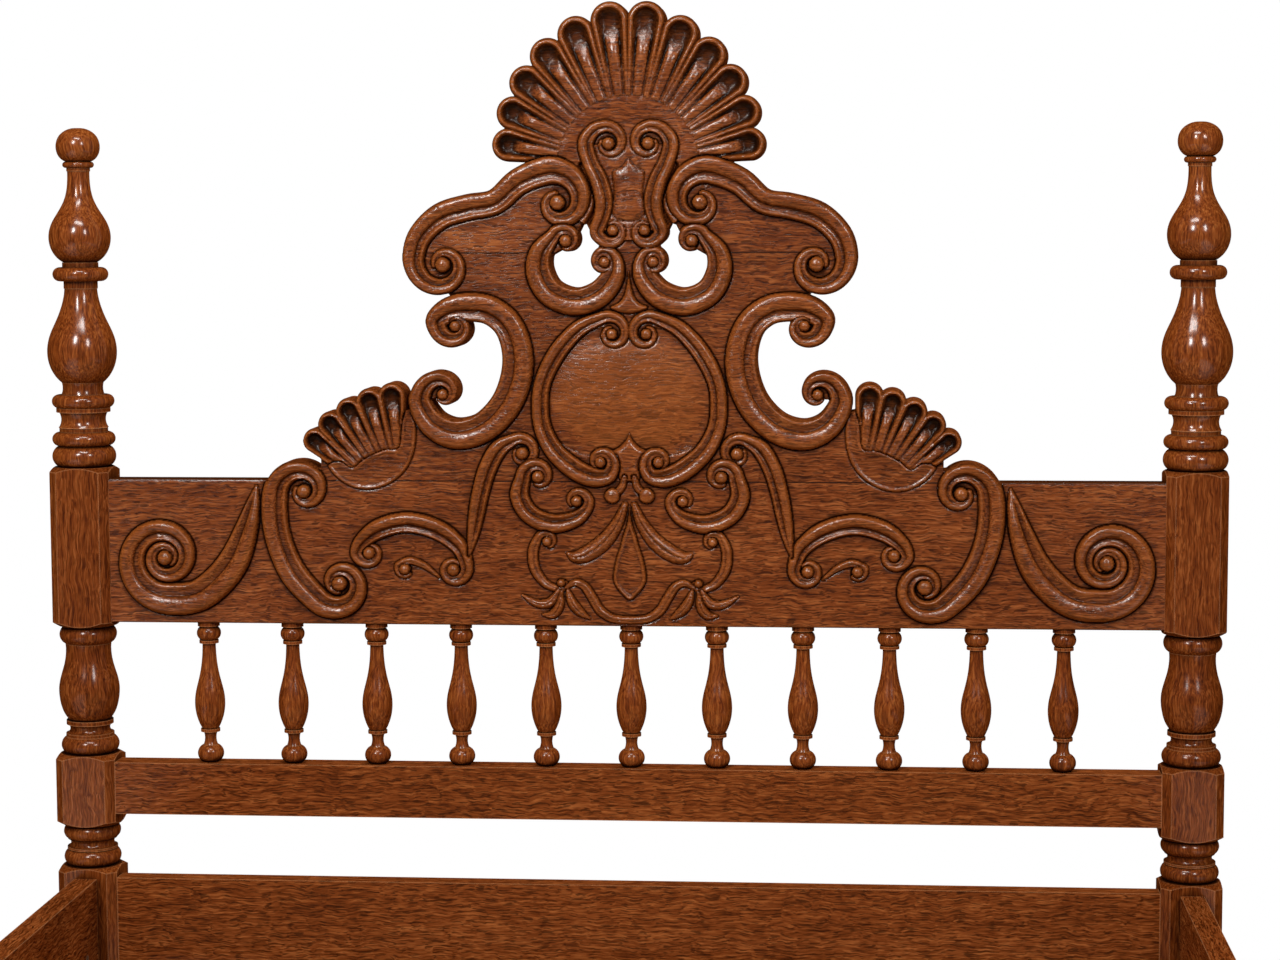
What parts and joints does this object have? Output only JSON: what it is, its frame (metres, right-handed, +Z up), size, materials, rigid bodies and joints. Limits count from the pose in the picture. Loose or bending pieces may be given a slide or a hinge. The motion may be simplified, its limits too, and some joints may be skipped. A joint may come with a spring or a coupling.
{
  "type": "spindle bed",
  "caption": "Double bed with a tall carved and pierced headboard, turned posts and spindles, side rails, a low spindle foot end and a slatted base.",
  "frame": {"origin": "on the floor, at the middle of the bed's footprint", "axes": "+Z up, +Y towards the head end, X across the bed"},
  "size_m": [1.519, 2.1765, 1.5595],
  "materials": {
    "carved_wood": "semi-gloss lacquer over reddish brown stain, dark in the recesses",
    "turned_wood": "semi-gloss lacquer over reddish brown stain, grain along the turning",
    "rail_wood": "semi-gloss lacquer over reddish brown stain, grain along the rail",
    "plain_wood": "planed, unfinished",
    "bolt_steel": "zinc plated, dull",
    "screw_steel": "zinc plated"
  },
  "bodies": {
    "root": {"head_post_left": "turned_wood", "head_post_right": "turned_wood", "head_finial_left": "turned_wood", "head_finial_right": "turned_wood", "carved_board_lower": "carved_wood", "carved_board_middle": "carved_wood", "carved_board_crest": "carved_wood", "board_dowels": "plain_wood", "head_spindle_01": "turned_wood", "head_spindle_02": "turned_wood", "head_spindle_03": "turned_wood", "head_spindle_04": "turned_wood", "head_spindle_05": "turned_wood", "head_spindle_06": "turned_wood", "head_spindle_07": "turned_wood", "head_spindle_08": "turned_wood", "head_spindle_09": "turned_wood", "head_spindle_10": "turned_wood", "head_spindle_11": "turned_wood", "head_rail": "rail_wood", "head_panel": "rail_wood", "side_rail_left": "rail_wood", "side_rail_right": "rail_wood", "slat_ledger_left": "plain_wood", "slat_ledger_right": "plain_wood", "slat_01": "plain_wood", "slat_02": "plain_wood", "slat_03": "plain_wood", "slat_04": "plain_wood", "slat_05": "plain_wood", "slat_06": "plain_wood", "slat_07": "plain_wood", "slat_08": "plain_wood", "slat_09": "plain_wood", "slat_10": "plain_wood", "slat_11": "plain_wood", "slat_12": "plain_wood", "slat_13": "plain_wood", "slat_14": "plain_wood", "foot_post_left": "turned_wood", "foot_post_right": "turned_wood", "foot_rail": "rail_wood", "foot_panel": "rail_wood", "foot_spindle_01": "turned_wood", "foot_spindle_02": "turned_wood", "foot_spindle_03": "turned_wood", "foot_spindle_04": "turned_wood", "foot_spindle_05": "turned_wood", "foot_spindle_06": "turned_wood", "foot_spindle_07": "turned_wood", "foot_spindle_08": "turned_wood", "foot_spindle_09": "turned_wood", "foot_spindle_10": "turned_wood", "foot_spindle_11": "turned_wood", "bed_bolts": "bolt_steel", "barrel_nuts": "bolt_steel", "ledger_screws": "screw_steel", "slat_screws": "screw_steel"}
  },
  "joints": []
}
